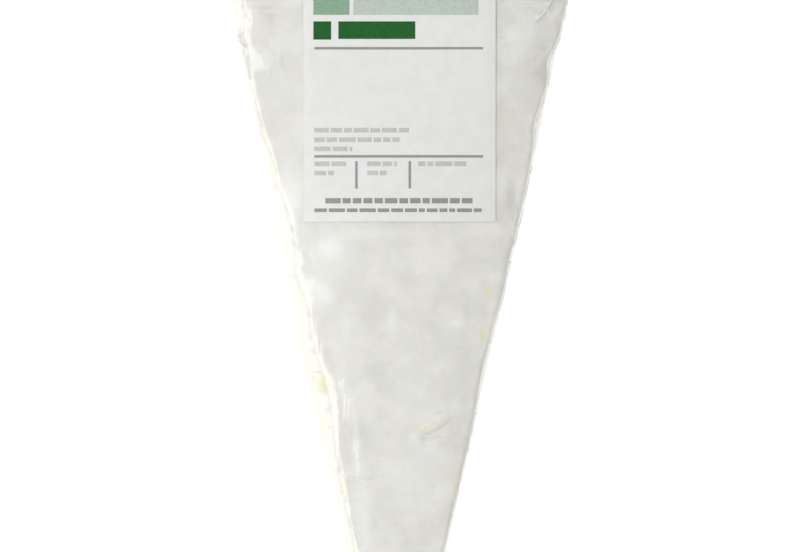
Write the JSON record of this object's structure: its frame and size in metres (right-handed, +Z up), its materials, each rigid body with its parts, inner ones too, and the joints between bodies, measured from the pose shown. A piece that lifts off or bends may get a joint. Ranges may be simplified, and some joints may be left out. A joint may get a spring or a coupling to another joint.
{
  "type": "film-wrapped brie wedge",
  "caption": "Long narrow wedge of soft white-rind cheese, drawn tight into clear film, with a paper label on its top; rests on its flat underside.",
  "frame": {"origin": "under the middle of the object's box, on the surface that it rests on", "axes": "+Z up, out of the labelled top; +Y along the wedge from its point to its rim; +X across it"},
  "size_m": [0.0754, 0.1768, 0.0313],
  "materials": {
    "cheese": "velvety white rind, soft pale yellow paste at the cuts",
    "film": "thin clear film, drawn tight, with small folds",
    "paper": "smooth white label paper",
    "print": "flat green and grey ink"
  },
  "bodies": {
    "root": {"wrapped_brie": "cheese", "label": "paper"}
  },
  "joints": []
}
